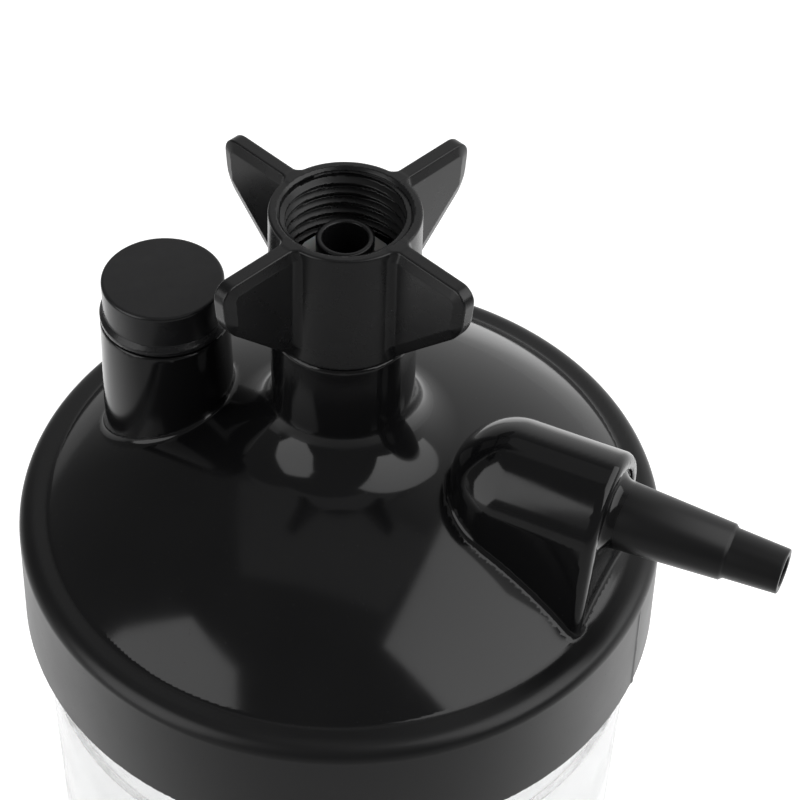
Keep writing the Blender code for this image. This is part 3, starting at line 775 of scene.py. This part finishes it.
def cap_field(x, y, z):
    """The cap, flared at its foot, with its plug in the tower and two vents at the back."""
    u, v = x - TOWER_X, y - TOWER_Y
    r = np.hypot(u, v)
    seam = TOWER_TOP + 0.3
    flare = 0.45 * np.clip((seam + 1.2 - z) / 0.5, 0.0, 1.0)
    outer = round_cross(r - CAP_RADIUS - flare, z - CAP_TOP, 0.35)
    outer = round_cross(outer, seam - z, 0.15)
    plug = hard_max(r - CAP_PLUG_RADIUS, CAP_PLUG_FOOT - z, z - seam - 1.0)
    solid = hard_min(outer, plug)
    room = hard_max(r - CAP_BORE, z - CAP_ROOM_TOP)
    vents = np.inf
    for side in (-1, 1):
        start = Vector((side * 2.2, 3.5))
        along = (Vector((side * 4.0, 9.0)) - start).normalized()
        ahead = (u - start.x) * along.x + (v - start.y) * along.y
        across = (u - start.x) * along.y - (v - start.y) * along.x
        vent = hard_max(np.hypot(across, z - VENT_Z) - VENT_RADIUS, -ahead)
        vents = hard_min(vents, vent)
    return hard_max(solid, -room, -vents)


def make_cap(look):
    reach = 7.7
    low = (TOWER_X - reach, TOWER_Y - reach, CAP_PLUG_FOOT)
    high = (TOWER_X + reach, TOWER_Y + reach, CAP_TOP)
    cap = field_piece("cap_with_vents", cap_field, low, high, 0.2, DATUM)
    finish_piece(cap, look, "black_satin", "lid", "relief_cap")


# ---------------------------------------------------------------- bottle and inside

def bottle_profile():
    """Outside from the base's middle to the mouth, then inside back to the floor."""
    mouth, neck, bore = bottle_high.z, NECK_RADIUS, NECK_BORE
    inner_radius = BODY_RADIUS - BOTTLE_WALL
    outside = soften([
        (0.0, 0.05), (9.0, 0.05), (9.9, 0.85), (28.1, 0.85), (28.9, 0.0), (30.6, 0.0),
    ], 0.6, 3, closed=False)
    corner = 4.0
    for step in range(9):
        angle = math.radians(-80 + 80 * step / 8)
        outside.append((BODY_RADIUS - corner + corner * math.cos(angle),
                        corner + corner * math.sin(angle)))
    for row in range(1, 12):
        outside.append((BODY_RADIUS, corner + (SHOULDER_Z - 1.0 - corner) * row / 12))
    neck_foot = DATUM - 14.9
    outside += soften([
        (BODY_RADIUS, SHOULDER_Z - 1.0), (BODY_RADIUS, SHOULDER_Z + 0.1),
        (36.95, SHOULDER_Z + 0.7), (36.8, DATUM - 15.6), (neck, neck_foot),
    ], 0.35, 4, closed=False)
    rows = int((mouth - 0.8 - neck_foot) / 0.25)
    for row in range(1, rows):
        outside.append((neck, neck_foot + (mouth - 0.8 - neck_foot) * row / rows))
    inside = soften([
        (neck, mouth - 0.7), (neck - 0.5, mouth), (bore + 0.3, mouth), (bore, mouth - 0.3),
        (bore, DATUM - 19.0), (inner_radius, SHOULDER_Z - 2.0),
    ], 0.3, 3, closed=False)
    inner_corner = 2.9
    for step in range(9):
        angle = math.radians(-90 * step / 8)
        inside.append((inner_radius - inner_corner + inner_corner * math.cos(angle),
                       BOTTLE_FLOOR + inner_corner + inner_corner * math.sin(angle)))
    inside.append((0.0, BOTTLE_FLOOR))
    return outside + inside


def raise_neck_thread(work):
    """Moves the neck's outer wall outwards along a right-hand helix."""
    root, turns, half_foot, flank = NECK_RADIUS, 1.6, 0.95, 0.6
    low = DATUM - 12.6
    high = low + turns * THREAD_PITCH
    for vert in work.verts:
        x, y, z = vert.co / MM
        r = math.hypot(x, y)
        if abs(r - root) > 0.02 or not low - 1.0 < z < high + 1.0:
            continue
        offset = float(helix_offset(x, y, z, THREAD_PITCH, low))
        ridge = min(1.0, max(0.0, (half_foot - abs(offset)) / flank))
        fade = min(1.0, max(0.0, z - low + 1.0), max(0.0, high + 1.0 - z))
        grown = root + (NECK_THREAD_CREST - root) * ridge * fade
        vert.co.x *= grown / r
        vert.co.y *= grown / r


def make_bottle(look):
    work = turned_mesh(bottle_profile(), ROUND_SEGMENTS, closed=False)
    raise_neck_thread(work)
    bottle = mesh_piece("bottle_shell", work, 60)
    finish_piece(bottle, look, "clear_bottle", "bottle", "bottle")
    for mark in range(LEVEL_MARKS):
        make_level_mark(look, mark)


def make_level_mark(look, mark):
    """A raised bar that follows the bottle's front, rounded at its edges."""
    width = 16.0 if mark in (0, LEVEL_MARKS - 1) else 9.0
    lowest, spacing = 42.0, 12.0
    height = lowest + spacing * mark
    half, depth, proud, steps = 0.4, 0.25, 0.42, 24
    section = soften([(-depth, -half), (proud, -half), (proud, half), (-depth, half)], 0.2, 3)
    work = bmesh.new()
    rings = []
    for step in range(steps + 1):
        share = step / steps
        angle = math.radians(-90) + (share - 0.5) * width / BODY_RADIUS
        taper = min(1.0, 0.35 + 6 * min(share, 1 - share))
        ring = []
        for out, up in section:
            r = BODY_RADIUS + (out if out < 0 else out * taper)
            ring.append(work.verts.new((r * math.cos(angle) * MM, r * math.sin(angle) * MM,
                                        (height + up * taper) * MM)))
        rings.append(ring)
    skin_rings(work, rings)
    piece = mesh_piece(f"level_mark_{mark + 1}", work)
    finish_piece(piece, look, "clear_bottle", "bottle", "bottle")


def finish_piece(piece, look, slot, body, *nodes):
    """Gives a piece its material, and has it stand for its nodes and ride on its body; the slot
    argument is not used.
    """
    piece.data.materials.append(look)
    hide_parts(*nodes)
    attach(piece, body)


def make_gasket(look):
    low, high = (corner[2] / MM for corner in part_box("lid_gasket"))
    profile = soften([(33.2, low), (36.6, low), (36.6, high), (33.2, high)], 0.45, 5)
    gasket = turned("gasket_ring", profile, segments=ROUND_SEGMENTS)
    finish_piece(gasket, look, "white_silicone", "gasket", "lid_gasket")


def make_dip_tube(look):
    low, high = (corner[2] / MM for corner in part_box("dip_tube"))
    profile = soften([(2.0, low), (3.0, low), (3.0, high), (2.0, high)], 0.25, 4)
    tube = turned("dip_tube_wall", profile, segments=64)
    finish_piece(tube, look, "tube_plastic", "lid", "dip_tube")


def make_diffuser(plastic, stone):
    holder = turned("diffuser_cup", soften([
        (3.3, 34.0), (3.3, 23.2), (1.8, 23.2), (1.8, 20.3), (8.3, 20.3), (8.3, 12.5),
        (9.6, 12.5), (9.6, 22.0), (6.0, 22.0), (5.0, 23.0), (5.0, 34.0),
    ], 0.4, 4))
    finish_piece(holder, plastic, "white_plastic", "lid", "diffuser_holder")
    make_retainer(plastic)
    make_stone(stone)


def make_retainer(look):
    """The ring that holds the stone, with ribs to grip it by."""
    profile = soften([
        (5.5, 6.3), (10.7, 6.3), (10.7, 16.0), (9.9, 16.0), (9.9, 7.7), (5.5, 7.7),
    ], 0.3, 4)
    work = turned_mesh(profile, 144)
    ribs, rib_height = 24, 0.28
    for vert in work.verts:
        x, y, _ = vert.co / MM
        r = math.hypot(x, y)
        if r < 10.5:               # only the outer wall has ribs
            continue
        rib = 0.5 + 0.5 * math.cos(ribs * math.atan2(y, x))
        grown = r + rib_height * rib ** 3
        vert.co.x *= grown / r
        vert.co.y *= grown / r
    retainer = mesh_piece("diffuser_grip_ring", work)
    finish_piece(retainer, look, "white_plastic", "lid", "diffuser_retainer")


def make_stone(look):
    """The porous stone, its skin pitted between beads."""
    pit_depth = 0.012              # share of the radius
    profile = [(0.0, 8.0)]
    profile += [(7.4 * step / 14, 8.0) for step in range(1, 15)]
    profile += [(7.7, 8.12), (7.9, 8.4)]
    profile += [(8.0, 8.7 + 11.1 * step / 22) for step in range(23)]
    profile += [(7.7, 20.0), (0.0, 20.0)]
    work = turned_mesh(profile, 96, closed=False)
    for vert in work.verts:
        x, y, z = vert.co / MM
        beads = (math.sin(5.1 * x + 1.3 * y) * math.sin(4.7 * y - 1.1 * z)
                 * math.sin(4.9 * z + 0.9 * x))
        r = math.hypot(x, y)
        if r > 0.5 and z < 19.9:
            shrink = 1.0 - pit_depth * (1.0 + beads)
            vert.co.x *= shrink
            vert.co.y *= shrink
    stone = mesh_piece("bead_stone", work)
    finish_piece(stone, look, "porous_stone", "lid", "diffuser_stone")


def make_spring(look):
    """The relief valve's wire spring, coiled at one fixed length; the real one shortens as the
    poppet lifts.
    """
    low, high = (Vector(corner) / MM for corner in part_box("relief_spring"))
    middle = (low + high) / 2
    wire, turns, steps, sides = 0.25, 5, 180, 10
    coil = (high.x - low.x) / 2 - wire - 0.02
    work = bmesh.new()
    rings = []
    for step in range(steps + 1):
        share = step / steps
        angle = 2 * math.pi * turns * share
        out = Vector((math.cos(angle), math.sin(angle), 0.0))
        centre = Vector((middle.x, middle.y, low.z + wire)) + out * coil
        centre.z += (high.z - low.z - 2 * wire) * share
        ring = []
        for side in range(sides):
            round_wire = 2 * math.pi * side / sides
            point = centre + wire * (out * math.cos(round_wire)
                                     + Vector((0, 0, 1)) * math.sin(round_wire))
            ring.append(work.verts.new(point * MM))
        rings.append(ring)
    skin_rings(work, rings)
    spring = mesh_piece("spring_coil", work)
    finish_piece(spring, look, "spring_steel", "lid", "relief_spring")
    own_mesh(spring)


def dress_nodes(looks):
    """The small inner parts keep their CAD shape and take a detailed material."""
    for node, look in looks.items():
        mesh = frame["nodes"][node].data
        for place in range(len(mesh.materials)):
            mesh.materials[place] = look
        if not mesh.materials:
            mesh.materials.append(look)


# ---------------------------------------------------------------- studio

def lamp_look(name, strength, dim):
    """An emitting material that fades from strength at a lamp's foot to dim at its top."""
    material = bpy.data.materials.new(name)
    material.use_nodes = True
    nodes, links = material.node_tree.nodes, material.node_tree.links
    nodes.clear()
    split = nodes.new("ShaderNodeSeparateXYZ")
    links.new(nodes.new("ShaderNodeTexCoord").outputs["Generated"], split.inputs["Vector"])
    fade = nodes.new("ShaderNodeMapRange")
    links.new(split.outputs["Y"], fade.inputs["Value"])
    fade.inputs["To Min"].default_value = strength
    fade.inputs["To Max"].default_value = dim
    emission = nodes.new("ShaderNodeEmission")
    links.new(fade.outputs["Result"], emission.inputs["Strength"])
    output = nodes.new("ShaderNodeOutputMaterial")
    links.new(emission.outputs["Emission"], output.inputs["Surface"])
    return material


def add_lamp(name, azimuth, elevation, distance, outline, strength, dim):
    """A flat lamp facing the lid from a direction; its outline is in metres on its own plane."""
    turn, lift = math.radians(azimuth), math.radians(elevation)
    facing = Vector((math.sin(turn) * math.cos(lift), math.cos(turn) * math.cos(lift),
                     math.sin(lift)))
    across = Vector((0, 0, 1)).cross(facing).normalized()
    up = facing.cross(across)
    work = bmesh.new()
    work.faces.new([work.verts.new((x, y, 0.0)) for x, y in outline])
    mesh = bpy.data.meshes.new(name)
    work.to_mesh(mesh)
    work.free()
    mesh.materials.append(lamp_look(name + "_light", strength, dim))
    lamp = bpy.data.objects.new(name, mesh)
    bpy.context.scene.collection.objects.link(lamp)
    middle = facing * distance + Vector((0.0, 0.0, DATUM * MM))
    axes = Matrix((across, up, facing)).transposed().to_4x4()
    lamp.matrix_world = Matrix.Translation(middle) @ axes
    lamp.visible_camera = False


def seen_directly(nodes, links):
    """1 for rays from the camera or through clear plastic, 0 for reflections and fill light."""
    path = nodes.new("ShaderNodeLightPath")
    either = nodes.new("ShaderNodeMath")
    either.operation = "MAXIMUM"
    links.new(path.outputs["Is Camera Ray"], either.inputs[0])
    links.new(path.outputs["Is Transmission Ray"], either.inputs[1])
    return either.outputs["Value"]


def make_floor():
    """A pale table.

    Reflections see it glow behind the bottle and to its right, and dimmer in front and to
    the left; rays from the camera or through the bottle see it at least evenly pale.
    """
    half_side, drop, pale = 3.0, 0.0005, 0.62
    work = bmesh.new()
    bmesh.ops.create_grid(work, x_segments=8, y_segments=8, size=half_side)
    bmesh.ops.translate(work, vec=(0, 0, -drop), verts=work.verts)
    floor = mesh_piece("studio_floor", work)
    look = Look("pale_floor", (0.5, 0.5, 0.5), 0.6, Emission_Color=(1.0, 1.0, 1.0, 1.0))
    look.vary_colour(look.noise(3, 3), (0.49, 0.49, 0.49), (0.51, 0.51, 0.51))
    split = look.nodes.new("ShaderNodeSeparateXYZ")
    look.links.new(look.place, split.inputs["Vector"])
    behind = look.spread(split.outputs["Y"], 0.02, 0.95, -0.14, 0.03)
    left = look.spread(split.outputs["X"], 0.25, 1.0, -0.26, -0.12)
    right = look.spread(split.outputs["X"], 1.0, 0.65, 0.12, 0.35)
    glow = look.combine("MULTIPLY", behind, look.combine("MULTIPLY", left, right))
    seen = look.combine("MULTIPLY", seen_directly(look.nodes, look.links), pale)
    glow = look.combine("MAXIMUM", glow, seen)
    look.links.new(glow, look.shader.inputs["Emission Strength"])
    floor.data.materials.append(look.material)


def make_world():
    """The room.

    Reflections see dim walls, lighter towards the back and to the right of it; rays from
    the camera or through the bottle see at least an even pale backdrop.
    """
    even_strength = 0.8
    world = bpy.data.worlds.new("studio")
    bpy.context.scene.world = world
    world.use_nodes = True
    nodes, links = world.node_tree.nodes, world.node_tree.links
    background = nodes["Background"]
    background.inputs["Color"].default_value = (1.0, 1.0, 1.0, 1.0)
    direction = nodes.new("ShaderNodeTexCoord").outputs["Generated"]
    back = nodes.new("ShaderNodeVectorMath")
    back.operation = "DOT_PRODUCT"
    back.inputs[1].default_value = (0.5, 0.85, 0.0)
    links.new(direction, back.inputs[0])
    ramp = nodes.new("ShaderNodeMapRange")
    ramp.interpolation_type = "SMOOTHSTEP"
    links.new(back.outputs["Value"], ramp.inputs["Value"])
    for socket, number in (("From Min", 0.15), ("From Max", 1.0), ("To Min", 0.12),
                           ("To Max", 0.72)):
        ramp.inputs[socket].default_value = number
    pale = nodes.new("ShaderNodeMath")
    pale.operation = "MULTIPLY"
    links.new(seen_directly(nodes, links), pale.inputs[0])
    pale.inputs[1].default_value = even_strength
    brighter = nodes.new("ShaderNodeMath")
    brighter.operation = "MAXIMUM"
    links.new(ramp.outputs["Result"], brighter.inputs[0])
    links.new(pale.outputs["Value"], brighter.inputs[1])
    links.new(brighter.outputs["Value"], background.inputs["Strength"])


def make_camera():
    camera = bpy.data.cameras.new("camera")
    camera.lens = 100.0
    camera.sensor_width = 36.0
    camera.clip_start = 0.01
    eye = bpy.data.objects.new("camera", camera)
    eye.location = (0.0, -0.18376, 0.3339)
    eye.rotation_euler = Euler([math.radians(turn) for turn in (44.837, -1.649, -0.432)])
    bpy.context.scene.collection.objects.link(eye)
    bpy.context.scene.camera = eye


def make_studio():
    make_floor()
    make_world()
    make_camera()
    add_lamp("softbox_right", 110, 30, 0.8, [
        (-0.38, 0.64), (0.6, 0.64), (0.6, -0.2), (-0.38, -0.2),
    ], 2.0, 1.4)
    add_lamp("softbox_left", -110, 15, 0.8, [
        (-0.16, 0.2), (-0.02, 0.51), (0.32, 0.58), (0.46, 0.44), (0.52, 0.0), (0.36, -0.34),
        (0.0, -0.36), (-0.18, -0.1),
    ], 1.6, 1.5)
    add_lamp("ceiling_panel", 180, 72, 1.2, [
        (-0.74, 1.14), (0.55, 0.53), (0.26, 0.0), (-0.6, 0.27),
    ], 0.25, 0.25)
    bpy.context.scene.view_settings.view_transform = "Standard"


def main():
    gloss, nut_look, rubber = gloss_black(), nut_black(), white_rubber()
    moulding, steel = white_moulding(), spring_wire()
    make_studio()
    make_lid(gloss)
    make_barb(gloss)
    make_nut(nut_look)
    make_nipple(nut_look)
    make_cap(satin_black())
    make_bottle(clear_plastic())
    make_gasket(rubber)
    make_dip_tube(tube_look())
    make_diffuser(moulding, stone_look())
    make_spring(steel)
    dress_nodes({
        "nipple_o_ring": rubber,
        "nose_seal": rubber,
        "relief_seal": rubber,
        "nut_slip_washer": moulding,
        "relief_seat": moulding,
        "relief_poppet": moulding,
        "relief_whistle": steel,
    })


main()
